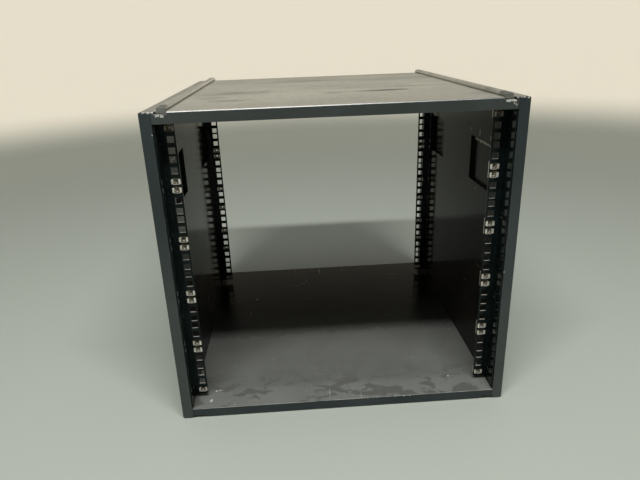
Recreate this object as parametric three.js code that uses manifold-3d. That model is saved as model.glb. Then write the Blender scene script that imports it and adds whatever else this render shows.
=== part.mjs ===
// Open, doorless 19-inch rack cabinet, ten rack units high, that stacks on another of its kind.
// Millimetres. +X is to the right seen from the front, +Y to the back, +Z up. The origin is on
// the ground, at the middle of the footprint.
import * as THREE from 'three';
import { mergeVertices } from 'three/addons/utils/BufferGeometryUtils.js';
import Module from 'manifold-3d';

const wasm = await Module();
wasm.setup();

// Rack standard.
const RACK_UNIT = 44.45;
const UNITS = 10;
const UNIT_HOLES = [6.35, 22.225, 38.1];  // down from the top of a rack unit
const HOLE_SIZE = 9.5;
const RACK_OPENING = 450;
const HOLE_TO_RAIL_EDGE = 7.55;

// Cabinet.
const WIDTH = 528.4;
const DEPTH = 544;
const SIDE_THICKNESS = 16.3;   // the hollow side panels
const BASE_THICKNESS = 15.6;
const ROOF_THICKNESS = 16.4;
const UNDER_RACK = 9.3;        // floor to the lowest rack unit
const OVER_RACK = 3.6;         // highest rack unit to the ceiling
const SHELL_SHEET = 1.2;
const LINER_SHEET = 1.0;
const CORNER_RADIUS = 3.8;     // long edges of the side panels
const BEND_RADIUS = 2.5;       // front and back edges of every panel
const GAP = 0.3;               // between neighbouring pieces
const ARC_STEPS = 4;

// Stacking ribs on the roof, and the grooves under the base that take them.
const RIB_INNER_X = 226.9;
const RIB_WIDTH = 13.2;
const RIB_HEIGHT = 6.5;
const RIB_SHEET = 1.2;
const RIB_RADIUS = 4.5;
const RIB_SLOPE = 20;          // where the front end starts to fall away
const RIB_NOSE = { run: 3.2, rise: 4.4 };
const RIB_BACK_INSET = 2;
const TONGUE = { inset: 1, thickness: 1.6, drop: 2.2 };
const NOTCH = { x: [226.6, 243.5], run: 5, drop: 3 };
const GROOVE = { x: [226.2, 246.1], rise: 7.5, mouth: 3.5 };

// Pressed recesses in the side liners: one behind each front rail, one ahead of each back rail.
const RECESS_LENGTH = 102;
const RECESS_Z = [331, 406.5];
const RECESS_DEPTH = 6;
const RECESS_RADIUS = 2;
const RECESS_TO_FACE = 86;     // from the front or back face of the cabinet

// Rails.
const RAIL_SHEET = 2;
const RAIL_LEG = 30;
const RAIL_BEND = 2.5;
const RAIL_OVERHANG = 1.5;     // past the lowest and the highest rack unit
const RAIL_FACES = { front: 32.1, back: 483.5 };  // hole plane, from the cabinet's front face

// Rail screws, sunk in the rail's leg, and the tapped strip inside the wall.
const SCREW_LEVELS = [2, 11, 20, 29];
const SCREW_SETBACK = 11;      // ahead of the hole plane
const SCREW_RADIUS = 2.5;
const SCREW_CLEARANCE_RADIUS = 3;
const SCREW_HEAD = { radius: 4.6, height: 1 };
const STRIP = { width: 16, thickness: 3, end: 12 };
const ROUND_STEPS = 12;
const SMALL_ROUND_STEPS = 8;

// Cage nuts: a sprung cage clipped into a square hole, and the nut floating in it.
const CAGED_LEVELS = [1, 6, 7, 12, 13, 18, 19, 24, 25, 30];
const CAGE = { width: 12, height: 12.3, sheet: 0.6, depth: 6.5, mouth: 8.2 };
const CAGE_WINDOW = { width: 7.5, height: 8.1 };
const WING = { thickness: 0.6, height: 7.2, reach: 1.1, hook: 6.7 };
const NUT = { size: 9.7, thickness: 4.7, bore: 2.6, boss: 3.3, bossReach: 2 };
const NUT_FLOAT = 0.8;
const NUT_STEPS = 16;

const FRONT = -DEPTH / 2;
const BACK = DEPTH / 2;
const OUTER_X = WIDTH / 2;
const INNER_X = OUTER_X - SIDE_THICKNESS;
const PANEL_X = INNER_X - GAP;               // half width of the roof and the base
const RACK_BOTTOM = BASE_THICKNESS + UNDER_RACK;
const RACK_TOP = RACK_BOTTOM + UNITS * RACK_UNIT;
const CEILING = RACK_TOP + OVER_RACK;
const HEIGHT = CEILING + ROOF_THICKNESS;
const LINER_FRONT = FRONT + SHELL_SHEET + GAP;
const LINER_BACK = BACK - SHELL_SHEET - GAP;
const RAIL_EDGE_X = RACK_OPENING / 2;
const RAIL_LEG_X = PANEL_X - RAIL_SHEET;     // inner face of the leg, which lies along the wall
const HOLE_X = RAIL_EDGE_X + HOLE_TO_RAIL_EDGE;
const PAST = 2;                              // how far a cutter runs past what it cuts

const SIDES = { left: -1, right: 1 };

const frameSteel = new THREE.MeshStandardMaterial({ color: 0x2b3036, roughness: 0.5, metalness: 0.2 });
const linerSteel = new THREE.MeshStandardMaterial({ color: 0x1b1d20, roughness: 0.25, metalness: 0.3 });
const railSteel = new THREE.MeshStandardMaterial({ color: 0x121314, roughness: 0.35, metalness: 0.4 });
const cageSteel = new THREE.MeshStandardMaterial({ color: 0xb3a98a, roughness: 0.35, metalness: 0.9 });
const nutZinc = new THREE.MeshStandardMaterial({ color: 0xa79a6c, roughness: 0.4, metalness: 0.9 });

// Turns a closed geometry into a solid that can be joined and cut.
function toSolid(geometry) {
  geometry.deleteAttribute('normal');
  geometry.deleteAttribute('uv');
  const merged = mergeVertices(geometry);
  return new wasm.Manifold(new wasm.Mesh({
    numProp: 3,
    vertProperties: merged.attributes.position.array,
    triVerts: Uint32Array.from(merged.index.array),
  }));
}

// A block between two planes on each axis, given in either order.
function block(xs, ys, zs) {
  const low = new THREE.Vector3(Math.min(...xs), Math.min(...ys), Math.min(...zs));
  const high = new THREE.Vector3(Math.max(...xs), Math.max(...ys), Math.max(...zs));
  const size = high.clone().sub(low);
  const middle = low.add(high).multiplyScalar(0.5);
  return toSolid(new THREE.BoxGeometry(size.x, size.y, size.z).translate(middle.x, middle.y, middle.z));
}

// A cylinder along X or Y, between two planes given in either order.
function rod(axis, radius, ends, centre, steps = ROUND_STEPS) {
  const length = Math.abs(ends[1] - ends[0]);
  const middle = (ends[0] + ends[1]) / 2;
  const geometry = new THREE.CylinderGeometry(radius, radius, length, steps);
  if (axis === 'x') {
    geometry.rotateZ(Math.PI / 2).translate(middle, centre.y, centre.z);
  } else {
    geometry.translate(centre.x, middle, centre.z);
  }
  return toSolid(geometry);
}

// Sweeps an outline along one axis. The outline is drawn in the other two, in X, Y, Z order.
function sweep(outline, axis, from, to) {
  const depth = to - from;
  const options = { depth, bevelEnabled: false, curveSegments: ARC_STEPS };
  const geometry = new THREE.ExtrudeGeometry(outline, options);
  if (axis === 'x') {
    geometry.rotateX(Math.PI / 2).rotateZ(Math.PI / 2).translate(from, 0, 0);
  } else if (axis === 'y') {
    geometry.rotateX(Math.PI / 2).translate(0, to, 0);
  } else {
    geometry.translate(0, 0, from);
  }
  return toSolid(geometry);
}

// A rectangle whose corners have their own radii: low-low, high-low, high-high, low-high.
function roundedOutline(us, vs, radii) {
  const [u0, u1] = [Math.min(...us), Math.max(...us)];
  const [v0, v1] = [Math.min(...vs), Math.max(...vs)];
  const corners = [
    { u: u0, v: v0, inU: 1, inV: 1, start: Math.PI },
    { u: u1, v: v0, inU: -1, inV: 1, start: 1.5 * Math.PI },
    { u: u1, v: v1, inU: -1, inV: -1, start: 0 },
    { u: u0, v: v1, inU: 1, inV: -1, start: 0.5 * Math.PI },
  ];
  const shape = new THREE.Shape();
  corners.forEach((corner, index) => {
    const radius = radii[index];
    const centreU = corner.u + corner.inU * radius;
    const centreV = corner.v + corner.inV * radius;
    const startU = centreU + radius * Math.cos(corner.start);
    const startV = centreV + radius * Math.sin(corner.start);
    if (index === 0) {
      shape.moveTo(startU, startV);
    } else {
      shape.lineTo(startU, startV);
    }
    if (radius > 0) {
      shape.absarc(centreU, centreV, radius, corner.start, corner.start + Math.PI / 2);
    }
  });
  return shape;
}

// Height of a rail's hole, counted from 1 at the top.
function holeZ(level) {
  const unit = Math.floor((level - 1) / UNIT_HOLES.length);
  return RACK_TOP - unit * RACK_UNIT - UNIT_HOLES[(level - 1) % UNIT_HOLES.length];
}

// The block of a side panel, drawn in by an inset, with its outer edges rounded.
function sideBlock(side, inset, openX) {
  const corner = Math.max(CORNER_RADIUS - inset, 0);
  const bend = Math.max(BEND_RADIUS - inset, 0);
  const xs = [side * openX, side * (OUTER_X - inset)];
  const rounds = (radius) => (side > 0 ? [0, radius, radius, 0] : [radius, 0, 0, radius]);
  const ys = [FRONT + inset, BACK - inset];
  const zs = [inset, HEIGHT - inset];
  return sweep(roundedOutline(xs, zs, rounds(corner)), 'y', ...ys)
    .intersect(sweep(roundedOutline(xs, ys, rounds(bend)), 'z', ...zs));
}

function sideShell(side) {
  return sideBlock(side, 0, INNER_X).subtract(sideBlock(side, SHELL_SHEET, INNER_X - PAST));
}

// A side liner: a flat sheet with two recesses pressed outward and clearance holes for the screws.
function sideLiner(side) {
  const edge = SHELL_SHEET + GAP;
  const sheetX = [side * INNER_X, side * (INNER_X + LINER_SHEET)];
  const bottom = INNER_X + RECESS_DEPTH;
  let liner = block(sheetX, [LINER_FRONT, LINER_BACK], [edge, HEIGHT - edge]);
  for (const start of [FRONT + RECESS_TO_FACE, BACK - RECESS_TO_FACE - RECESS_LENGTH]) {
    const recess = (grow, nearX, farX) => {
      const ys = [start - grow, start + RECESS_LENGTH + grow];
      const zs = [RECESS_Z[0] - grow, RECESS_Z[1] + grow];
      const outline = roundedOutline(ys, zs, Array(4).fill(RECESS_RADIUS + grow));
      return sweep(outline, 'x', Math.min(side * nearX, side * farX), Math.max(side * nearX, side * farX));
    };
    liner = liner.add(recess(LINER_SHEET, INNER_X, bottom + LINER_SHEET));
    liner = liner.subtract(recess(0, INNER_X - PAST, bottom));
  }
  for (const face of Object.values(RAIL_FACES)) {
    for (const level of SCREW_LEVELS) {
      liner = liner.subtract(screwHole(side, face, level));
    }
  }
  return liner;
}

function screwPlace(face, level) {
  return { y: FRONT + face - SCREW_SETBACK, z: holeZ(level) };
}

function screwHole(side, face, level) {
  const ends = [side * (RAIL_LEG_X - PAST), side * (INNER_X + LINER_SHEET + PAST)];
  return rod('x', SCREW_CLEARANCE_RADIUS, ends, screwPlace(face, level), SMALL_ROUND_STEPS);
}

function screwSink(side, face, level) {
  const ends = [side * (RAIL_LEG_X - PAST), side * (RAIL_LEG_X + SCREW_HEAD.height + GAP)];
  return rod('x', SCREW_HEAD.radius + GAP, ends, screwPlace(face, level));
}

// The roof's outer sheet, bent down at the front and the back, notched for the ribs' tongues.
function roofShell() {
  const bent = (inset, bottom) => {
    const bend = BEND_RADIUS - inset;
    const ys = [FRONT + inset, BACK - inset];
    const outline = roundedOutline(ys, [bottom, HEIGHT - inset], [0, 0, bend, bend]);
    return sweep(outline, 'x', -PANEL_X, PANEL_X);
  };
  const notchYs = [FRONT - PAST, FRONT + NOTCH.run];
  const notchZs = [HEIGHT - NOTCH.drop, HEIGHT + PAST];
  let shell = bent(0, CEILING).subtract(bent(SHELL_SHEET, CEILING - PAST));
  for (const side of Object.values(SIDES)) {
    const xs = NOTCH.x.map((x) => side * x);
    shell = shell.subtract(block(xs, notchYs, notchZs));
  }
  return shell;
}

function roofLiner() {
  return block([-PANEL_X, PANEL_X], [LINER_FRONT, LINER_BACK], [CEILING, CEILING + LINER_SHEET]);
}

// The base's outer sheet: a tray with a groove folded up along each side.
function baseShell() {
  const tray = (inset, halfWidth, top) => {
    const bend = BEND_RADIUS - inset;
    const outline = roundedOutline([FRONT + inset, BACK - inset], [inset, top], [bend, bend, 0, 0]);
    return sweep(outline, 'x', -halfWidth, halfWidth);
  };
  const insideYs = [FRONT + SHELL_SHEET, BACK - SHELL_SHEET];
  const linerZs = [BASE_THICKNESS - LINER_SHEET - GAP, BASE_THICKNESS + PAST];
  let shell = tray(0, PANEL_X, BASE_THICKNESS)
    .subtract(tray(SHELL_SHEET, PANEL_X - SHELL_SHEET, BASE_THICKNESS + PAST))
    .subtract(block([-PANEL_X - PAST, PANEL_X + PAST], insideYs, linerZs));
  for (const side of Object.values(SIDES)) {
    const [near, far] = GROOVE.x;
    const foldXs = [side * (near - SHELL_SHEET), side * PANEL_X];
    const fold = block(foldXs, insideYs, [0, GROOVE.rise + SHELL_SHEET]);
    const groove = block([side * near, side * far], insideYs, [-PAST, GROOVE.rise]);
    const mouths = block([side * near, side * far], [FRONT - PAST, BACK + PAST], [-PAST, GROOVE.mouth]);
    shell = shell.add(fold).subtract(groove).subtract(mouths);
  }
  return shell;
}

function floorLiner() {
  const zs = [BASE_THICKNESS - LINER_SHEET, BASE_THICKNESS];
  return block([-PANEL_X, PANEL_X], [LINER_FRONT, LINER_BACK], zs);
}

// A stacking rib: an upturned trough with a well rounded top, closed at the back. Its front end
// falls away to a blunt nose and a tongue that goes down into the notch in the roof's front edge.
function stackingRib(side) {
  const foot = HEIGHT + GAP;
  const crest = HEIGHT + RIB_HEIGHT;
  const back = BACK - RIB_BACK_INSET;
  const tongueTip = HEIGHT - TONGUE.drop;
  const profile = new THREE.Shape([
    new THREE.Vector2(FRONT + TONGUE.inset, tongueTip),
    new THREE.Vector2(FRONT + TONGUE.inset + TONGUE.thickness, tongueTip),
    new THREE.Vector2(FRONT + NOTCH.run - GAP, foot),
    new THREE.Vector2(back, foot),
    new THREE.Vector2(back, crest),
    new THREE.Vector2(FRONT + RIB_SLOPE, crest),
    new THREE.Vector2(FRONT + RIB_NOSE.run, HEIGHT + RIB_NOSE.rise),
  ]);
  const xs = [RIB_INNER_X, RIB_INNER_X + RIB_WIDTH].map((x) => side * x).sort((a, b) => a - b);
  const section = (inset, bottom) => {
    const radius = RIB_RADIUS - inset;
    return roundedOutline([xs[0] + inset, xs[1] - inset], [bottom, crest - inset], [0, 0, radius, radius]);
  };
  return sweep(profile, 'x', ...xs)
    .intersect(sweep(section(0, tongueTip), 'y', FRONT, BACK))
    .subtract(sweep(section(RIB_SHEET, HEIGHT), 'y', FRONT + RIB_SLOPE, back - RIB_SHEET));
}

// A rail: an angle with a column of square holes and a leg that runs forward along the wall.
function rail(side, face) {
  const plane = FRONT + face;
  const bottom = RACK_BOTTOM - RAIL_OVERHANG;
  const top = RACK_TOP + RAIL_OVERHANG;
  const corner = side > 0 ? [0, 0, RAIL_BEND, 0] : [0, 0, 0, RAIL_BEND];
  const ys = [plane - RAIL_LEG, plane + RAIL_SHEET];
  const insideXs = [side * (RAIL_EDGE_X - PAST), side * RAIL_LEG_X];
  let angle = sweep(roundedOutline([side * RAIL_EDGE_X, side * PANEL_X], ys, corner), 'z', bottom, top)
    .subtract(block(insideXs, [ys[0] - PAST, plane], [bottom - PAST, top + PAST]));
  for (let level = 1; level <= UNITS * UNIT_HOLES.length; level += 1) {
    const xs = [-1, 1].map((end) => side * HOLE_X + end * HOLE_SIZE / 2);
    const zs = [-1, 1].map((end) => holeZ(level) + end * HOLE_SIZE / 2);
    angle = angle.subtract(block(xs, [plane - PAST, plane + RAIL_SHEET + PAST], zs));
  }
  for (const level of SCREW_LEVELS) {
    angle = angle.subtract(screwHole(side, face, level)).subtract(screwSink(side, face, level));
  }
  return angle;
}

// A rail's four screws, flush with the leg's face, and the tapped strip behind the liner.
function railFixing(side, face) {
  const stripX = INNER_X + LINER_SHEET + GAP;
  const y = FRONT + face - SCREW_SETBACK;
  const levels = SCREW_LEVELS.map(holeZ);
  let fixing = block(
    [side * stripX, side * (stripX + STRIP.thickness)],
    [y - STRIP.width / 2, y + STRIP.width / 2],
    [Math.min(...levels) - STRIP.end, Math.max(...levels) + STRIP.end]);
  for (const level of SCREW_LEVELS) {
    const centre = screwPlace(face, level);
    const headEnds = [side * RAIL_LEG_X, side * (RAIL_LEG_X + SCREW_HEAD.height)];
    const shankEnds = [side * (RAIL_LEG_X + SCREW_HEAD.height / 2), side * (stripX + STRIP.thickness / 2)];
    fixing = fixing
      .add(rod('x', SCREW_RADIUS, shankEnds, centre, SMALL_ROUND_STEPS))
      .add(rod('x', SCREW_HEAD.radius, headEnds, centre));
  }
  return fixing;
}

// The cage of a cage nut. Its origin is the square hole's centre, on the rail's front face.
function cage() {
  const front = RAIL_SHEET + GAP;
  const back = front + CAGE.depth;
  const [halfX, halfZ] = [CAGE.width / 2, CAGE.height / 2];
  const [roomX, roomZ] = [halfX - CAGE.sheet, halfZ - CAGE.sheet];
  const [windowX, windowZ] = [CAGE_WINDOW.width / 2, CAGE_WINDOW.height / 2];
  const mouthXs = [-CAGE.mouth / 2, CAGE.mouth / 2];
  let solid = block([-halfX, halfX], [front, back], [-halfZ, halfZ])
    .subtract(block([-roomX, roomX], [front + CAGE.sheet, back - CAGE.sheet], [-roomZ, roomZ]))
    .subtract(block(mouthXs, [back - CAGE.sheet * 2, back + PAST], [-roomZ, roomZ]))
    .subtract(block([-windowX, windowX], [front - PAST, front + CAGE.sheet * 2], [-windowZ, windowZ]));
  for (const side of Object.values(SIDES)) {
    const wing = block(
      [side * windowX, side * (windowX + WING.thickness)],
      [-WING.reach, front + CAGE.sheet], [-WING.height / 2, WING.height / 2]);
    const hook = block(
      [side * windowX, side * WING.hook],
      [-WING.reach, WING.thickness - WING.reach], [-WING.height / 2, WING.height / 2]);
    solid = solid.add(wing).add(hook);
  }
  return solid;
}

// The square nut, resting on the bottom of its cage, with its boss in the cage's window.
function nut() {
  const front = RAIL_SHEET + GAP + CAGE.sheet + GAP;
  const half = NUT.size / 2;
  const z = -NUT_FLOAT / 2;
  const bossFront = front - NUT.bossReach;
  return block([-half, half], [front, front + NUT.thickness], [z - half, z + half])
    .add(rod('y', NUT.boss, [bossFront, front + NUT.thickness / 2], { x: 0, z }, NUT_STEPS))
    .subtract(rod('y', NUT.bore, [bossFront - PAST, front + NUT.thickness + PAST], { x: 0, z }, NUT_STEPS));
}

function toGeometry(solid) {
  const { vertProperties, triVerts, numProp } = solid.getMesh();
  const geometry = new THREE.BufferGeometry();
  geometry.setAttribute('position', new THREE.BufferAttribute(vertProperties, numProp));
  geometry.setIndex(new THREE.BufferAttribute(triVerts, 1));
  return geometry;
}

const cabinet = new THREE.Group();

function addPart(name, geometry, material, place = [0, 0, 0]) {
  const mesh = new THREE.Mesh(geometry, material);
  mesh.name = name;
  mesh.position.set(...place);
  cabinet.add(mesh);
}

addPart('roof_shell', toGeometry(roofShell()), frameSteel);
addPart('roof_liner', toGeometry(roofLiner()), linerSteel);
addPart('base_shell', toGeometry(baseShell()), frameSteel);
addPart('floor_liner', toGeometry(floorLiner()), linerSteel);

const cageGeometry = toGeometry(cage());
const nutGeometry = toGeometry(nut());
for (const [sideName, side] of Object.entries(SIDES)) {
  addPart(`side_shell_${sideName}`, toGeometry(sideShell(side)), frameSteel);
  addPart(`side_liner_${sideName}`, toGeometry(sideLiner(side)), linerSteel);
  addPart(`stacking_rib_${sideName}`, toGeometry(stackingRib(side)), frameSteel);
  for (const [faceName, face] of Object.entries(RAIL_FACES)) {
    addPart(`rail_${faceName}_${sideName}`, toGeometry(rail(side, face)), railSteel);
    addPart(`rail_screws_${faceName}_${sideName}`, toGeometry(railFixing(side, face)), railSteel);
  }
  for (const level of CAGED_LEVELS) {
    const place = [side * HOLE_X, FRONT + RAIL_FACES.front, holeZ(level)];
    const tag = `${sideName}_${String(level).padStart(2, '0')}`;
    addPart(`cage_${tag}`, cageGeometry, cageSteel, place);
    addPart(`nut_${tag}`, nutGeometry, nutZinc, place);
  }
}

export default cabinet;
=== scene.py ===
"""The looks of an open 19-inch rack cabinet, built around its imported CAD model. Metres, +Z up."""
import math

import bmesh
import bpy
from mathutils import Matrix, Vector


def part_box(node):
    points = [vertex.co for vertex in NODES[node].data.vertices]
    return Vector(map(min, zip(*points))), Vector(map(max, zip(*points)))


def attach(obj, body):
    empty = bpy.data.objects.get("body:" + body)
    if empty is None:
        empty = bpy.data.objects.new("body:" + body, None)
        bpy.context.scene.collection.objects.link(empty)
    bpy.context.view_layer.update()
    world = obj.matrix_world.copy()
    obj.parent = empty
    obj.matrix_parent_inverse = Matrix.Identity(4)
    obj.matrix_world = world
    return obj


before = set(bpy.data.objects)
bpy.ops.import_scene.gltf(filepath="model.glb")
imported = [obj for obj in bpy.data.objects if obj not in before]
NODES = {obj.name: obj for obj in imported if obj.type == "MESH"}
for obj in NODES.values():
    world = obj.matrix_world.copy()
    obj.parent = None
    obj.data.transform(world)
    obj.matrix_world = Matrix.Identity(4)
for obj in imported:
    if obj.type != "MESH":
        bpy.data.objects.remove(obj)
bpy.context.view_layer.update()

CABINET = "cabinet"
SIDES = ("left", "right")
MM = 0.001

# Places, from the frame. INNER_X is the inner face of a side shell and HOLE_X the middle of the
# rails' holes, both from the cabinet's middle. RAIL_OFFSET leads from the front rails to the back
# ones.
SHELL_LOW, SHELL_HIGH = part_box("side_shell_right")
FRONT, BACK = SHELL_LOW.y, SHELL_HIGH.y
INNER_X = SHELL_LOW.x
ROOF_TOP = SHELL_HIGH.z
SILL_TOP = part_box("base_shell")[1].z
RAIL_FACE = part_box("rail_front_right")[0].y
HOLE_X = sum(corner.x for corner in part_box("nut_right_01")) / 2
RAIL_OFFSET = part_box("rail_back_right")[1].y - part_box("rail_front_right")[1].y


# ---------------------------------------------------------------- camera, light and floor

CAMERA_PLACE = (-0.06554, -1.00499, 0.57553)
CAMERA_DOWN = 0.3619           # below the level, in radians, as are the turn and the roll
CAMERA_TURN = -0.048
CAMERA_ROLL = -0.0364
CAMERA_LENS = 30.335
CAMERA_SENSOR = 36.0


def make_camera():
    data = bpy.data.cameras.new("camera")
    data.lens = CAMERA_LENS
    data.sensor_width = CAMERA_SENSOR
    camera = bpy.data.objects.new("camera", data)
    turn = Matrix.Rotation(CAMERA_TURN, 4, "Z")
    tilt = Matrix.Rotation(math.pi / 2 - CAMERA_DOWN, 4, "X")
    roll = Matrix.Rotation(CAMERA_ROLL, 4, "Z")
    camera.matrix_world = Matrix.Translation(CAMERA_PLACE) @ turn @ tilt @ roll
    bpy.context.scene.collection.objects.link(camera)
    bpy.context.scene.camera = camera


KEY_ELEVATION = math.radians(60)
KEY_TURN = math.radians(-2)
KEY_DISTANCE = 2.3
KEY_SIZE = (1.8, 0.14)
KEY_POWER = 58.0
KEY_COLOUR = (1.0, 0.985, 0.95)
FILL_SIZE = (1.8, 1.8)
FILL_HEIGHT = 2.6
FILL_POWER = 10.0
FILL_COLOUR = (0.95, 0.98, 1.0)
WORLD_COLOUR = (0.9, 0.95, 1.0, 1.0)
WORLD_STRENGTH = 0.08


def add_area_light(name, place, target, size, power, colour):
    """A flat light, its length along X, that faces its target."""
    data = bpy.data.lights.new(name, "AREA")
    data.shape = "RECTANGLE"
    data.size, data.size_y = size
    data.energy = power
    data.color = colour
    light = bpy.data.objects.new(name, data)
    light.location = place
    light.rotation_euler = (target - place).to_track_quat("-Z", "Y").to_euler()
    bpy.context.scene.collection.objects.link(light)


def make_lights():
    """A long narrow key light high in front, a large weak one overhead and a dim room."""
    middle = Vector((0, 0, ROOF_TOP / 2))
    level = math.cos(KEY_ELEVATION)
    towards = Vector((level * math.sin(KEY_TURN), -level * math.cos(KEY_TURN),
                      math.sin(KEY_ELEVATION)))
    add_area_light("key", middle + towards * KEY_DISTANCE, middle, KEY_SIZE, KEY_POWER, KEY_COLOUR)
    overhead = Vector((0, 0, FILL_HEIGHT))
    add_area_light("fill", overhead, middle, FILL_SIZE, FILL_POWER, FILL_COLOUR)

    world = bpy.data.worlds.new("studio")
    world.use_nodes = True
    background = world.node_tree.nodes["Background"]
    background.inputs["Color"].default_value = WORLD_COLOUR
    background.inputs["Strength"].default_value = WORLD_STRENGTH
    bpy.context.scene.world = world
    bpy.context.scene.view_settings.view_transform = "Standard"


STAGE_RADIUS = 2.7
STAGE_DROP = 0.8 * MM          # below the base, so that the two surfaces don't coincide
STAGE_BEND = 0.22              # radius of the curve between floor and wall
STAGE_HEIGHT = 1.4
STAGE_ROUGHNESS = 0.75
STAGE_GLOW = 0.66
STAGE_GLOW_FADE = (0.80, 1.10)  # heights between which the glow dies away
STAGE_FRONT_SHARE = 0.06       # of the glow, on the side that the cabinet's front faces
STAGE_STEPS = 96
STAGE_BEND_STEPS = 12
STAGE_FLOOR = (0.41, 0.447, 0.405)
STAGE_WALL = (0.66, 0.61, 0.51)


def make_stage():
    """A pale floor that curves up into a low pale wall all round."""
    profile = [(0.0, 0.0)]
    for step in range(STAGE_BEND_STEPS + 1):
        angle = step / STAGE_BEND_STEPS * math.pi / 2
        out = STAGE_RADIUS - STAGE_BEND + STAGE_BEND * math.sin(angle)
        profile.append((out, STAGE_BEND * (1 - math.cos(angle))))
    profile.append((STAGE_RADIUS, STAGE_HEIGHT))
    bm = bmesh.new()
    spin_profile(bm, profile, STAGE_STEPS)
    floor = piece_of("stage_floor", bm)
    paint = Paint("stage_paint")
    height = paint.axis("Z")
    rise = paint.step(height, 0.0, STAGE_BEND)
    paint.set("Base Color", paint.mix(rise, STAGE_FLOOR, STAGE_WALL))
    paint.set("Roughness", STAGE_ROUGHNESS)
    fade = paint.step(height, STAGE_GLOW_FADE[1], STAGE_GLOW_FADE[0])
    behind = paint.step(paint.axis("Y"), -STAGE_RADIUS / 2, STAGE_RADIUS / 2,
                        STAGE_FRONT_SHARE, 1.0)
    glow = paint.multiply(rise, fade, behind, STAGE_GLOW)
    paint.set("Emission Color", STAGE_WALL)
    paint.set("Emission Strength", glow)
    floor.data.materials.append(paint.material)
    floor.location.z = -STAGE_DROP


# ---------------------------------------------------------------- mesh helpers

WELD_DISTANCE = 0.01 * MM
FLAT_ANGLE = math.radians(0.5)
BEVEL_ANGLE = math.radians(30)
BEVEL_SEGMENTS = 2


def piece_of(name, bm):
    """Turns a bmesh into an object of that name, shaded smooth."""
    bmesh.ops.remove_doubles(bm, verts=bm.verts, dist=1e-7)
    bmesh.ops.recalc_face_normals(bm, faces=bm.faces)
    mesh = bpy.data.meshes.new(name)
    bm.to_mesh(mesh)
    bm.free()
    mesh.shade_smooth()
    piece = bpy.data.objects.new(name, mesh)
    bpy.context.scene.collection.objects.link(piece)
    return piece


def spin_profile(bm, profile, steps):
    """Turns (radius, height) points about the upright axis. A radius of 0 closes the end."""
    rings = []
    for radius, height in profile:
        count = steps if radius > 0 else 1
        angles = [2 * math.pi * k / steps for k in range(count)]
        rings.append([bm.verts.new((radius * math.cos(a), radius * math.sin(a), height))
                      for a in angles])
    for low, high in zip(rings, rings[1:]):
        for k in range(steps):
            corners = [low[k % len(low)], low[(k + 1) % len(low)],
                       high[(k + 1) % len(high)], high[k % len(high)]]
            unique = list(dict.fromkeys(corners))
            if len(unique) > 2:
                bm.faces.new(unique)


def finish_edges(piece, width):
    """Welds the triangles, rounds the sharp edges and evens out the shading."""
    mesh = piece.data
    if "custom_normal" in mesh.attributes:
        mesh.attributes.remove(mesh.attributes["custom_normal"])
    mesh.shade_smooth()
    weld = piece.modifiers.new("weld", "WELD")
    weld.merge_threshold = WELD_DISTANCE
    flat = piece.modifiers.new("flat", "DECIMATE")
    flat.decimate_type = "DISSOLVE"
    flat.angle_limit = FLAT_ANGLE
    bevel = piece.modifiers.new("bevel", "BEVEL")
    bevel.width = width
    bevel.segments = BEVEL_SEGMENTS
    bevel.limit_method = "ANGLE"
    bevel.angle_limit = BEVEL_ANGLE
    bevel.use_clamp_overlap = True
    piece.modifiers.new("normals", "WEIGHTED_NORMAL").keep_sharp = True


# ---------------------------------------------------------------- material helpers

EDGE_SAMPLES = 4
SPOT_WANDER = 6 * MM           # range over which the outline of a spot is pushed about
SPOT_RAGGEDNESS = (420.0, 3.0)  # scale and detail of the noise that pushes it


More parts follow.
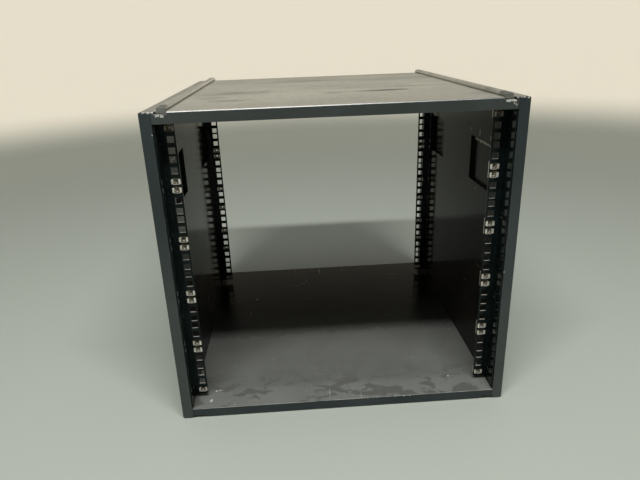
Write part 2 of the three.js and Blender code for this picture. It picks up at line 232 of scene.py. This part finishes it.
class Paint:
    """One procedural material. Its textures are laid out in the frame, in metres."""

    def __init__(self, name):
        self.material = bpy.data.materials.new(name)
        self.material.use_nodes = True
        self.tree = self.material.node_tree
        self.tree.nodes.clear()
        self.shader = self.node("ShaderNodeBsdfPrincipled")
        output = self.node("ShaderNodeOutputMaterial")
        self.tree.links.new(self.shader.outputs["BSDF"], output.inputs["Surface"])
        self.place = self.node("ShaderNodeTexCoord").outputs["Object"]
        self.normal = self.node("ShaderNodeNewGeometry").outputs["Normal"]

    def node(self, kind, **settings):
        """A new shader node with these settings."""
        node = self.tree.nodes.new(kind)
        for key, value in settings.items():
            setattr(node, key, value)
        return node

    def feed(self, socket, value):
        """Links a socket to another one, or sets it to a plain value."""
        if isinstance(value, bpy.types.NodeSocket):
            self.tree.links.new(value, socket)
        elif socket.type == "RGBA" and len(value) == 3:
            socket.default_value = (*value, 1.0)
        else:
            socket.default_value = value

    def set(self, name, value):
        self.feed(self.shader.inputs[name], value)

    def math(self, operation, *values):
        node = self.node("ShaderNodeMath", operation=operation)
        for socket, value in zip(node.inputs, values):
            self.feed(socket, value)
        return node.outputs["Value"]

    def multiply(self, first, *others):
        for other in others:
            first = self.math("MULTIPLY", first, other)
        return first

    def most(self, first, *others):
        for other in others:
            first = self.math("MAXIMUM", first, other)
        return first

    def size(self, value):
        """The value without its sign."""
        return self.math("ABSOLUTE", value)

    def invert(self, value):
        return self.math("SUBTRACT", 1.0, value)

    def vector(self, operation, *values):
        node = self.node("ShaderNodeVectorMath", operation=operation)
        for socket, value in zip(node.inputs, values):
            self.feed(socket, value)
        single = operation in ("DOT_PRODUCT", "DISTANCE", "LENGTH")
        return node.outputs["Value" if single else "Vector"]

    def axis(self, letter, source=None):
        node = self.node("ShaderNodeSeparateXYZ")
        self.feed(node.inputs[0], source or self.place)
        return node.outputs[letter]

    def step(self, value, start, end, low=0.0, high=1.0):
        """A smooth change from low to high as value goes from start to end."""
        node = self.node("ShaderNodeMapRange", interpolation_type="SMOOTHSTEP")
        for name, number in zip(("Value", "From Min", "From Max", "To Min", "To Max"),
                                (value, start, end, low, high)):
            self.feed(node.inputs[name], number)
        return node.outputs["Result"]

    def within(self, value, start, end, soft):
        """1 between start and end, falling to 0 over a soft margin inside them."""
        return self.multiply(self.step(value, start, start + soft),
                             self.step(value, end, end - soft))

    def noise(self, scale, detail=2.0, roughness=0.5, distortion=0.0, stretch=(1, 1, 1), shift=0.0):
        """Noise with so many features a metre."""
        node = self.node("ShaderNodeTexNoise")
        spread = self.vector("MULTIPLY", self.place, stretch)
        self.feed(node.inputs["Vector"], self.vector("ADD", spread, (shift, shift, shift)))
        node.inputs["Scale"].default_value = scale
        node.inputs["Detail"].default_value = detail
        node.inputs["Roughness"].default_value = roughness
        node.inputs["Distortion"].default_value = distortion
        return node.outputs["Fac"]

    def scratches(self, stretch, shift, density=0.3):
        """Sparse fine lines, running along the axis whose stretch is small."""
        lines = self.noise(1.0, 1.0, 0.4, 0.15, stretch, shift)
        thin = self.step(lines, 0.70, 0.74)
        broken = self.step(self.noise(9.0, 2.0, 0.6, shift=shift + 3.7), 0.66 - density * 0.2, 0.72)
        return self.multiply(thin, broken)

    def edges(self, radius):
        """1 along the sharp edges, 0 elsewhere."""
        round_normal = self.node("ShaderNodeBevel", samples=EDGE_SAMPLES)
        round_normal.inputs["Radius"].default_value = radius
        alike = self.vector("DOT_PRODUCT", round_normal.outputs["Normal"], self.normal)
        return self.step(alike, 0.995, 0.90)

    def worn_edges(self, radius, patches, start, end, most):
        """The sharp edges, worn where the patches of noise rise from start to end."""
        return self.multiply(self.edges(radius), self.step(patches, start, end), most)

    def spots(self, places):
        """1 inside ragged spots, each given as a centre and a radius."""
        ragged = self.node("ShaderNodeTexNoise")
        self.feed(ragged.inputs["Vector"], self.place)
        scale, detail = SPOT_RAGGEDNESS
        ragged.inputs["Scale"].default_value = scale
        ragged.inputs["Detail"].default_value = detail
        centred = self.vector("SUBTRACT", ragged.outputs["Color"], (0.5, 0.5, 0.5))
        push = self.vector("MULTIPLY", centred, (SPOT_WANDER,) * 3)
        moved = self.vector("ADD", self.place, push)
        found = 0.0
        for centre, radius in places:
            away = self.vector("DISTANCE", moved, centre)
            found = self.most(found, self.step(away, radius, radius * 0.7))
        return found

    def between(self, data_type, share, first, second):
        """From the first value to the second as the share goes from 0 to 1."""
        node = self.node("ShaderNodeMix", data_type=data_type)
        inputs = [s for s in node.inputs if s.enabled]
        for socket, value in zip(inputs, (share, first, second)):
            self.feed(socket, value)
        return next(s for s in node.outputs if s.enabled)

    def mix(self, share, first, second):
        """Between two colours."""
        return self.between("RGBA", share, first, second)

    def blend(self, share, first, second):
        """Between two numbers."""
        return self.between("FLOAT", share, first, second)

    def bump(self, *layers):
        """Bumps of (height, depth in metres), one over the other."""
        normal = None
        for height, depth in layers:
            node = self.node("ShaderNodeBump")
            node.inputs["Distance"].default_value = depth
            self.feed(node.inputs["Height"], height)
            if normal is not None:
                self.feed(node.inputs["Normal"], normal)
            normal = node.outputs["Normal"]
        self.set("Normal", normal)


# ---------------------------------------------------------------- materials

PAINT_DARK = (0.010, 0.0190, 0.0220)
PAINT_LIGHT = (0.018, 0.0290, 0.0325)
DUST = (0.37, 0.35, 0.285)
FLOOR_DUST = (0.27, 0.285, 0.27)
FLOOR_BITS = (0.55, 0.55, 0.52)
RAIL_DUST = (0.42, 0.41, 0.37)
# Bare steel: worn paint, and the colour of painted highlights on the roof's front bend and a side
# edge.
BARE_STEEL_AND_HIGHLIGHT = (0.58, 0.58, 0.55)
PRIMER = (0.26, 0.26, 0.25)
INNER_DARK = (0.007, 0.007, 0.006)
INNER_LIGHT = (0.013, 0.012, 0.010)
FLOOR_DARK = (0.010, 0.010, 0.008)
RAIL_DARK = (0.003, 0.006, 0.006)
RAIL_LIGHT = (0.006, 0.011, 0.011)

# How strongly each glossy paint mirrors, as its Specular IOR Level.
INNER_SHINE = 0.05
FLOOR_SHINE = 0.065
RAIL_SHINE = 0.15

# Knocked-off paint on the front face and along the edge of the sill, and a painted highlight along
# the left side shell's top front edge, in millimetres: place from the middle, drop from the top,
# radius.
CHIPS_AND_HIGHLIGHT = [(-240.5, 5.9, 1.8), (-237.6, 5.4, 1.7), (-234.2, 6.0, 1.9), (-231.6, 5.6, 1.7),
         (230.5, 4.6, 1.8), (233.6, 4.9, 2.0), (236.7, 4.4, 1.9), (239.6, 4.7, 2.0),
         (242.2, 4.9, 1.7), (241.0, 8.5, 1.2), (244.0, 9.9, 1.3), (242.0, 17.0, 1.2),
         (260.0, 0.8, 2.0), (254.0, 0.5, 1.2), (250.0, 0.3, 1.2), (248.6, 260.0, 1.3),
         # From -258 to -248.2 just under the top: spots that paint a highlight on the left side
         # shell's top edge.
         (-248.4, 30.0, 1.3), (-258.0, 0.2, 1.5), (-255.6, 0.3, 1.7), (-253.0, 0.2, 1.6),
         (-250.4, 0.3, 1.7), (-248.2, 0.2, 1.4),
         (39.5, 473.8, 1.3), (46.0, 473.9, 1.1), (54.4, 473.8, 1.5), (84.3, 473.9, 1.1),
         (99.3, 473.8, 1.7), (104.0, 473.7, 1.3), (109.3, 473.8, 1.5)]

# Flakes of paint on the floor, in millimetres: place from the middle, from the front, radius.
FLAKES = [(-220.0, 19.4, 2.6), (-218.0, 23.0, 1.8), (-213.2, 45.7, 2.0), (-208.5, 46.5, 1.8),
          (-204.5, 47.0, 1.4)]

# Smudges in the dust on the roof, in millimetres: place from the middle and from the front, half
# lengths along both, and how much of the dust they take off.
SMUDGES = [(-150.0, 215.0, 80.0, 50.0, 0.40), (-190.0, 150.0, 45.0, 26.0, 0.35),
           (-153.0, 100.0, 60.0, 20.0, 0.40), (100.0, 165.0, 60.0, 20.0, 0.75),
           (8.0, 160.0, 24.0, 18.0, 0.50)]

# Wear on the side liners, in millimetres: the torn paint along the top of a front recess, with its
# two ends from the front and its height, and strokes drawn down the wall, with their place from the
# front, highest point and length.
RIM_ENDS = (100.0, 186.0)
RIM_HEIGHT = 401.0
STROKES = [(146.0, 424.0, 14.0), (192.0, 420.0, 8.0), (96.0, 421.0, 10.0), (149.5, 326.0, 8.0)]

RIM_HALF_WIDTH = (2.3 * MM, 1.3 * MM)    # where it ends and where it is full
STROKE_HALF_WIDTH = (1.4 * MM, 0.7 * MM)
WEAR_MARGIN = 3 * MM                     # over which the ends fade
SWAY = 5 * MM                            # of the rim, up and down
STROKE_SWAY = 0.2                        # as a share of the rim's
STROKE_SHARE = 0.8
RECESS_DULL = (INNER_X + 2 * MM, INNER_X + 3 * MM, 0.0, 0.22)
RECESS_BACK = (INNER_X + 3 * MM, INNER_X + 4 * MM)


# How the dust grows towards the back: from, to, and its share at either end.
ROOF_DUSTIER = (FRONT, 100 * MM, 0.92, 1.16)

# A painted highlight along the roof's front edge, as bare steel on its bend: how far it reaches
# back and down, and how it fades from one place across to another.
BROW_DEPTH = 3 * MM
BROW_DROP = 4 * MM
BROW_FADE = (-60 * MM, 130 * MM, 1.0, 0.35)

SILL_REACH = 1.5 * MM          # of the scuffed line, above and below the sill's top
CLEAN_FADE = 6 * MM            # between the clean front of a rib and its dust
PEEL_DEPTH = 0.02 * MM
WAVE_DEPTH = 0.35 * MM
CHIP_AND_HIGHLIGHT_DEPTH = 0.12 * MM


def chip_and_highlight_places():
    return [((x * MM, FRONT, ROOF_TOP - drop * MM), radius * MM) for x, drop, radius in CHIPS_AND_HIGHLIGHT]


def flake_places():
    return [((x * MM, FRONT + back * MM, SILL_TOP), radius * MM) for x, back, radius in FLAKES]


def cabinet_paint(name, dusty, dust_and_light_slope=(0.75, 0.98), clean_front=0.0, haze=(0.0, 0.07)):
    """Satin anthracite paint with orange peel, smudges and chipped edges; dusty on what faces up.

    Its haze goes from the first value at the top of the cabinet to the second at the bottom. Bare
    steel also paints highlights along the roof's front bend and the left side shell's top front
    edge.
    """
    paint = Paint(name)
    forward, height = paint.axis("Y"), paint.axis("Z")
    cloud = paint.noise(7.0, 4.0, 0.6)
    colour = paint.mix(paint.step(cloud, 0.35, 0.7), PAINT_DARK, PAINT_LIGHT)

    up = paint.axis("Z", paint.normal)
    # Dust on what faces up; the rib's wider slope also paints light on its flanks that lie in
    # shade.
    flat = paint.step(up, *dust_and_light_slope)
    streaks = paint.noise(6.0, 4.0, 0.55, 0.2, (0.5, 1.0, 1.0), 2.0)
    film = paint.step(streaks, 0.30, 0.70, 0.86, 1.06)
    wiped = paint.step(paint.noise(5.0, 3.0, 0.55, 0.3, (0.5, 2.2, 1.0), 5.0), 0.50, 0.70)
    mottle = paint.step(paint.noise(130.0, 3.0, 0.65, shift=12.0), 0.30, 0.70, 0.84, 1.08)
    further = paint.step(forward, *ROOF_DUSTIER)
    amount = paint.multiply(paint.blend(wiped, film, 0.62), dusty, mottle, further)
    grains = paint.step(paint.noise(900.0, 2.0, 0.7), 0.62, 0.74)
    clean_end = FRONT + clean_front
    left_alone = paint.step(forward, clean_end, clean_end + CLEAN_FADE, 0.35, 1.0)
    kept = paint.invert(smudges(paint))
    dust = paint.multiply(flat, left_alone, kept, paint.most(amount, paint.multiply(grains, dusty)))
    veil = paint.multiply(paint.step(paint.noise(3.0, 3.0, 0.6, shift=8.0), 0.35, 0.75, 0.7, 1.3),
                          paint.step(height, ROOF_TOP, 0.0, *haze))
    colour = paint.mix(paint.most(dust, veil), colour, DUST)

    worn = paint.worn_edges(0.9 * MM, paint.noise(60.0, 4.0, 0.7, shift=1.0), 0.50, 0.64, 0.45)
    lines = paint.most(paint.scratches((3.0, 3.0, 700.0), 1.0),
                       paint.scratches((650.0, 5.0, 30.0), 4.0))
    colour = paint.mix(paint.most(worn, paint.multiply(lines, 0.35)), colour, PRIMER)
    bend = paint.multiply(paint.step(up, 0.12, 0.40), paint.step(up, 0.97, 0.85))
    patches = paint.step(paint.noise(30.0, 3.0, 0.6, shift=9.0), 0.25, 0.45, 0.5, 0.85)
    # A painted highlight: the roof's front bend drawn as bare steel where the key light would glint
    # on it.
    bend_highlight = paint.multiply(paint.step(up, 0.30, 0.50), paint.step(up, 0.985, 0.93), patches)
    brow_back, brow_foot = FRONT + BROW_DEPTH, ROOF_TOP - BROW_DROP
    brow_highlight = paint.multiply(
        bend_highlight, paint.step(forward, brow_back, brow_back - 0.5 * MM),
        paint.step(height, brow_foot, brow_foot + 1 * MM), paint.step(paint.axis("X"), *BROW_FADE))
    scuffed = paint.step(paint.noise(14.0, 3.0, 0.6, shift=14.0), 0.35, 0.60, 0.10, 0.55)
    at_sill = paint.multiply(
        paint.step(up, 0.2, 0.5), scuffed,
        paint.within(height, SILL_TOP - SILL_REACH, SILL_TOP + SILL_REACH, 0.8 * MM))
    # Bare steel on the sill's scuffed line, and along the brow as a painted highlight.
    colour = paint.mix(paint.most(brow_highlight, at_sill), colour, BARE_STEEL_AND_HIGHLIGHT)
    # Chips, and a row of spots that paints a highlight along the left side shell's top front edge.
    chips_and_highlight = paint.spots(chip_and_highlight_places())
    colour = paint.mix(chips_and_highlight, colour, BARE_STEEL_AND_HIGHLIGHT)

    paint.set("Base Color", colour)
    paint.set("Metallic", paint.multiply(chips_and_highlight, 0.35))
    rough = paint.blend(paint.step(cloud, 0.3, 0.7), 0.34, 0.42)
    rough = paint.blend(dust, rough, 0.50)
    paint.set("Roughness", paint.blend(bend, rough, 0.20))
    paint.bump((paint.noise(620.0, 2.0, 0.5), PEEL_DEPTH), (paint.noise(5.0, 1.0), WAVE_DEPTH),
               (paint.invert(chips_and_highlight), CHIP_AND_HIGHLIGHT_DEPTH))
    return paint.material


def smudges(paint):
    """How much of the roof's dust is wiped off, from 0 to 1."""
    ragged = paint.noise(34.0, 5.0, 0.72, 1.2, (0.30, 1.0, 1.0), 11.0)
    found = 0.0
    for across, back, half_across, half_back, share in SMUDGES:
        centre = (across * MM, FRONT + back * MM, 0.0)
        away = paint.vector("SUBTRACT", paint.place, centre)
        scaled = paint.vector("MULTIPLY", away, (1 / (half_across * MM), 1 / (half_back * MM), 0.0))
        reach = paint.math("MULTIPLY_ADD", ragged, 3.2, paint.vector("LENGTH", scaled))
        found = paint.most(found, paint.multiply(paint.step(reach, 2.55, 1.75), share))
    return found


def inner_paint():
    """Glossy, nearly black paint that mirrors what is behind the cabinet, hazed and scratched."""
    paint = Paint("inner_paint")
    film = paint.noise(6.0, 4.0, 0.6, 0.5)
    colour = paint.mix(paint.step(film, 0.4, 0.75), INNER_DARK, INNER_LIGHT)
    lines = paint.most(paint.scratches((4.0, 2.0, 600.0), 2.0),
                       paint.scratches((4.0, 420.0, 60.0), 7.0))
    colour = paint.mix(paint.multiply(lines, 0.45), colour, PRIMER)
    worn = paint.worn_edges(0.8 * MM, paint.noise(80.0, 3.0, 0.7), 0.5, 0.65, 0.5)
    torn = liner_wear(paint)
    colour = paint.mix(torn, paint.mix(worn, colour, PRIMER), BARE_STEEL_AND_HIGHLIGHT)
    paint.set("Base Color", colour)
    dull = paint.most(lines, torn, paint.step(paint.size(paint.axis("X")), *RECESS_DULL))
    paint.set("Roughness", paint.blend(dull, paint.step(film, 0.3, 0.75, 0.09, 0.17), 0.5))
    paint.set("Specular IOR Level", INNER_SHINE)
    paint.bump((paint.noise(16.0, 1.0), 0.25 * MM), (paint.noise(520.0, 2.0), 0.008 * MM))
    return paint.material


def liner_wear(paint):
    """The torn top rims of the front recesses and the strokes near them."""
    forward, height = paint.axis("Y"), paint.axis("Z")
    sway = paint.math("MULTIPLY_ADD", paint.noise(190.0, 2.0, 0.6, shift=5.0), 2 * SWAY, -SWAY)
    off_rim = paint.math("SUBTRACT", paint.math("ADD", height, sway), RIM_HEIGHT * MM)
    found = paint.multiply(
        paint.step(paint.size(off_rim), *RIM_HALF_WIDTH),
        paint.within(forward, *(FRONT + end * MM for end in RIM_ENDS), WEAR_MARGIN),
        paint.step(paint.size(paint.axis("X")), *RECESS_BACK),
        paint.step(paint.noise(125.0, 2.0, 0.6, shift=6.0), 0.44, 0.48))
    for place, top, length in STROKES:
        swaying = paint.math("MULTIPLY_ADD", sway, STROKE_SWAY, forward)
        off = paint.math("SUBTRACT", swaying, FRONT + place * MM)
        stroke = paint.multiply(
            paint.step(paint.size(off), *STROKE_HALF_WIDTH),
            paint.within(height, (top - length) * MM, top * MM, WEAR_MARGIN), STROKE_SHARE)
        found = paint.most(found, stroke)
    return found


# How the dust on the floor grows towards the front: from, to, and its share at either end. Then
# where the dust at the front edge and the scuffed patches behind it set in.
FLOOR_DUSTIER = (BACK * 0.42, FRONT * 0.62, 0.0, 0.50)
FLOOR_EDGE = (FRONT + 60 * MM, FRONT + 35 * MM)
FLOOR_FRONT = (FRONT + 110 * MM, FRONT + 50 * MM)


def floor_paint():
    """The floor: glossy and dark at the back, dusty and scuffed towards the front."""
    paint = Paint("floor_paint")
    forward = paint.axis("Y")
    film = paint.noise(9.0, 5.0, 0.62, 0.8)
    ahead = paint.step(forward, *FLOOR_DUSTIER)
    patches = paint.step(paint.noise(22.0, 4.0, 0.6, 0.5, (1.0, 1.5, 1.0), 3.0), 0.50, 0.56)
    edge = paint.multiply(paint.step(forward, *FLOOR_EDGE), 0.12)
    front_band = paint.step(forward, *FLOOR_FRONT)
    dust = paint.multiply(ahead, paint.step(film, 0.15, 0.75, 0.75, 1.0))
    dust = paint.math("ADD", dust, edge)
    dust = paint.blend(paint.multiply(patches, front_band), dust, 0.36)
    bits = paint.step(paint.noise(170.0, 1.0, 0.5, shift=6.0), 0.80, 0.83)
    colour = paint.mix(dust, FLOOR_DARK, FLOOR_DUST)
    lines = paint.most(paint.scratches((260.0, 14.0, 1.0), 5.0, 0.6),
                       paint.scratches((20.0, 500.0, 1.0), 9.0))
    flakes = paint.spots(flake_places())
    colour = paint.mix(paint.most(bits, flakes, paint.multiply(lines, 0.5)), colour, FLOOR_BITS)
    paint.set("Base Color", colour)
    paint.set("Roughness", paint.step(dust, 0.0, 0.7, 0.16, 0.48))
    paint.set("Specular IOR Level", FLOOR_SHINE)
    paint.bump((paint.noise(14.0, 1.0), 0.2 * MM), (paint.noise(700.0, 2.0), 0.015 * MM))
    return paint.material


def rail_paint():
    """Gloss black rails, rubbed along their edges, with dust lying in the square holes."""
    paint = Paint("rail_paint")
    film = paint.noise(30.0, 3.0, 0.6)
    colour = paint.mix(paint.step(film, 0.4, 0.7), RAIL_DARK, RAIL_LIGHT)
    worn = paint.worn_edges(0.5 * MM, paint.noise(150.0, 3.0, 0.7, shift=2.0), 0.54, 0.66, 0.35)
    ledge = paint.multiply(paint.step(paint.axis("Z", paint.normal), 0.5, 0.9), 0.85)
    colour = paint.mix(paint.most(worn, ledge), colour, RAIL_DUST)
    paint.set("Base Color", colour)
    paint.set("Metallic", paint.multiply(worn, 0.6))
    paint.set("Roughness", paint.blend(ledge, paint.step(film, 0.3, 0.7, 0.07, 0.13), 0.45))
    paint.set("Specular IOR Level", RAIL_SHINE)
    paint.bump((paint.noise(700.0, 2.0), 0.012 * MM))
    return paint.material


STAIN_AND_SHADE = (0.05, 0.042, 0.027)
PAINTED_SHADE = (0.008, 0.006, 0.004)
# Painted shade on the nuts and cages high up, where the roof's shadow falls.
ROOF_SHADE_HEIGHTS = (ROOF_TOP - 50 * MM, ROOF_TOP - 35 * MM, 0.0, 0.75)  # from none to its most, by height
CAGE_DEPTH = 9 * MM            # a little more than a cage, from the rail's face
CAGE_INSIDE = (5.0 * MM, 4.6 * MM)  # from the hole's middle, between which the painted shade sets in
BEHIND_FACE = 0.1 * MM


def zinc(name, bright, tint, rough, metallic, stained, bore=0.0, shade_in_pocket=0.0):
    """Dulled zinc plating with a tint that clouds over, stained in patches, with painted shade high
    up.

    Painted shade lies in the bore, on all that doesn't face up, and in the hole of the rail, behind
    the rail's face.
    """
    paint = Paint(name)
    cloud = paint.noise(120.0, 2.0, 0.5, 0.4)
    colour = paint.mix(paint.step(cloud, 0.35, 0.65), bright, tint)
    stain = paint.step(paint.noise(520.0, 3.0, 0.65, shift=4.0), 0.58, 0.72)
    # Stains, and painted shade on what sits high up under the roof, both in the stain's colour.
    roof_shade = paint.step(paint.axis("Z"), *ROOF_SHADE_HEIGHTS)
    colour = paint.mix(paint.most(paint.multiply(stain, stained), roof_shade), colour, STAIN_AND_SHADE)
    # Painted shade: dark on all of the nut and thread that faces neither front, back nor up.
    ahead = paint.size(paint.axis("Y", paint.normal))
    bore_shade = paint.multiply(paint.step(ahead, 0.75, 0.45), bore,
                             paint.step(paint.axis("Z", paint.normal), 0.85, 0.60))
    # Painted shade in the rails' holes, behind their faces, round each cage.
    off_hole = paint.size(paint.math("SUBTRACT", paint.size(paint.axis("X")), HOLE_X))
    forward = paint.axis("Y")
    starts = (RAIL_FACE + BEHIND_FACE, RAIL_FACE + RAIL_OFFSET + BEHIND_FACE)
    behind = paint.most(*(paint.within(forward, start, start + CAGE_DEPTH, 0.5 * MM)
                          for start in starts))
    pocket_shade = paint.multiply(paint.step(off_hole, *CAGE_INSIDE), behind, shade_in_pocket)
    colour = paint.mix(paint.most(bore_shade, pocket_shade), colour, PAINTED_SHADE)
    paint.set("Base Color", colour)
    paint.set("Metallic", metallic)
    paint.set("Roughness", paint.step(stain, 0.0, 1.0, rough, rough + 0.15))
    paint.bump((paint.noise(1500.0, 2.0), 0.01 * MM))
    return paint.material


# ---------------------------------------------------------------- CAD nodes

# Width of the rounded edges of each kind of node, in millimetres.
BEVELS = {"side_shell": 0.5, "roof_shell": 0.4, "base_shell": 0.4, "roof_liner": 0.3,
          "floor_liner": 0.3, "side_liner": 0.4, "stacking_rib": 0.5, "rail_screws": 0.2,
          "rail": 0.3, "cage": 0.12, "nut": 0.3}


def kind_of(name):
    """The kind of a CAD node: its name without the side, face and level."""
    return next(kind for kind in BEVELS if name.startswith(kind))


def dress_nodes(materials):
    for name, node in NODES.items():
        kind = kind_of(name)
        node.data.materials.clear()
        node.data.materials.append(materials[kind])
        finish_edges(node, BEVELS[kind] * MM)


# ---------------------------------------------------------------- threads of the cage nuts

THREAD_ROOT = 2.62 * MM
THREAD_CREST = 2.28 * MM
THREAD_PITCH = 1.0 * MM
THREAD_HALF = 0.4              # half the ridge's foot, as a share of the pitch
THREAD_END = 0.3 * MM          # from each end of the bore
THREAD_STEPS = 16              # a turn
THREAD_LEAST = 0.05            # height at the very ends, as a share of the full height


def make_thread(name, low, high, body, material):
    """The helical ridge in a nut's bore, which runs out at both ends.

    Its place comes from the low and high corners of the nut's box.
    """
    start, end = low.y + THREAD_END, high.y - THREAD_END
    count = round((end - start) / THREAD_PITCH * THREAD_STEPS)
    bm = bmesh.new()
    rings = []
    for k in range(count + 1):
        angle = 2 * math.pi * k / THREAD_STEPS
        full = min(1, 2 * k / THREAD_STEPS, 2 * (count - k) / THREAD_STEPS)
        crest = THREAD_ROOT + (THREAD_CREST - THREAD_ROOT) * max(full, THREAD_LEAST)
        ring = []
        outline = ((THREAD_ROOT, -THREAD_HALF), (crest, 0.0), (THREAD_ROOT, THREAD_HALF))
        for radius, offset in outline:
            ring.append(bm.verts.new((
                (low.x + high.x) / 2 + radius * math.cos(angle),
                start + THREAD_PITCH * (k / THREAD_STEPS + offset),
                (low.z + high.z) / 2 + radius * math.sin(angle))))
        rings.append(ring)
    for near, far in zip(rings, rings[1:]):
        for side in range(3):
            bm.faces.new((near[side], near[(side + 1) % 3], far[(side + 1) % 3], far[side]))
    bm.faces.new(rings[0])
    bm.faces.new(rings[-1])
    piece = piece_of(name, bm)
    piece.data.materials.append(material)
    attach(piece, body)


def make_front_threads(material):
    for name in NODES:
        if name.startswith("nut_"):
            tag = name.removeprefix("nut_")
            make_thread(f"thread_{tag}", *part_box(name), f"floating_nut_{tag}", material)


# ---------------------------------------------------------------- cage nuts of the back rails

REAR_CAGED_LEVELS = [9, 10, 15, 18, 22, 25, 30]
RACK_UNIT = 44.45 * MM
UNIT_HOLES = [6.35 * MM, 22.225 * MM, 38.1 * MM]


def hole_drop(level):
    """How far below the top of the highest rack unit a hole lies. Level 1 is the top one."""
    return (level - 1) // 3 * RACK_UNIT + UNIT_HOLES[(level - 1) % 3]


def make_rear_cage_nuts(materials):
    """Cage nuts on the back rails: copies of a front one, which sits in the highest hole."""
    for side_name in SIDES:
        for level in REAR_CAGED_LEVELS:
            tag = f"{side_name}_{level:02d}"
            move = Vector((0, RAIL_OFFSET, hole_drop(1) - hole_drop(level)))
            for kind, slot in (("cage", "cage_steel"), ("nut", "nut_zinc")):
                mesh = NODES[f"{kind}_{side_name}_01"].data.copy()
                mesh.transform(Matrix.Translation(move))
                piece = bpy.data.objects.new(f"rear_{kind}_{tag}", mesh)
                bpy.context.scene.collection.objects.link(piece)
                mesh.materials.clear()
                mesh.materials.append(materials[kind])
                finish_edges(piece, BEVELS[kind] * MM)
                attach(piece, CABINET)
            low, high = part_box(f"nut_{side_name}_01")
            make_thread(f"rear_thread_{tag}", low + move, high + move, CABINET, materials["thread"])


# ---------------------------------------------------------------- making it all

make_camera()
make_lights()
make_stage()

MATERIALS = {
    "side_shell": cabinet_paint("side_paint", dusty=0.6),
    "base_shell": cabinet_paint("base_paint", dusty=0.3, haze=(0.0, 0.0)),
    "roof_shell": cabinet_paint("roof_paint", dusty=0.86, haze=(0.05, 0.05)),
    # The rib: dust down over its flanks, and painted light there where the key leaves them in
    # shade.
    "stacking_rib": cabinet_paint("rib_paint", dusty=0.78, dust_and_light_slope=(-0.6, 0.5),
                                  clean_front=20 * MM),
    "roof_liner": inner_paint(),
    "floor_liner": floor_paint(),
    "rail": rail_paint(),
    # The cages: painted shade where they sit in the rails' holes.
    "cage": zinc("cage_steel", (0.76, 0.76, 0.72), (0.60, 0.58, 0.49),
                 rough=0.26, metallic=0.45, stained=0.6, shade_in_pocket=0.95),
    # Nut and thread: painted shade on all that faces neither front, back nor up; the thread is near
    # white.
    "nut": zinc("nut_zinc", (0.30, 0.26, 0.16), (0.19, 0.145, 0.075),
                rough=0.22, metallic=0.7, stained=0.5, bore=1.0),
    "thread": zinc("thread_zinc", (0.99, 0.99, 0.97), (0.97, 0.96, 0.92),
                   rough=0.16, metallic=0.3, stained=0.0, bore=1.0),
}
MATERIALS["side_liner"] = MATERIALS["roof_liner"]
MATERIALS["rail_screws"] = MATERIALS["rail"]

dress_nodes(MATERIALS)
make_front_threads(MATERIALS["thread"])
make_rear_cage_nuts(MATERIALS)
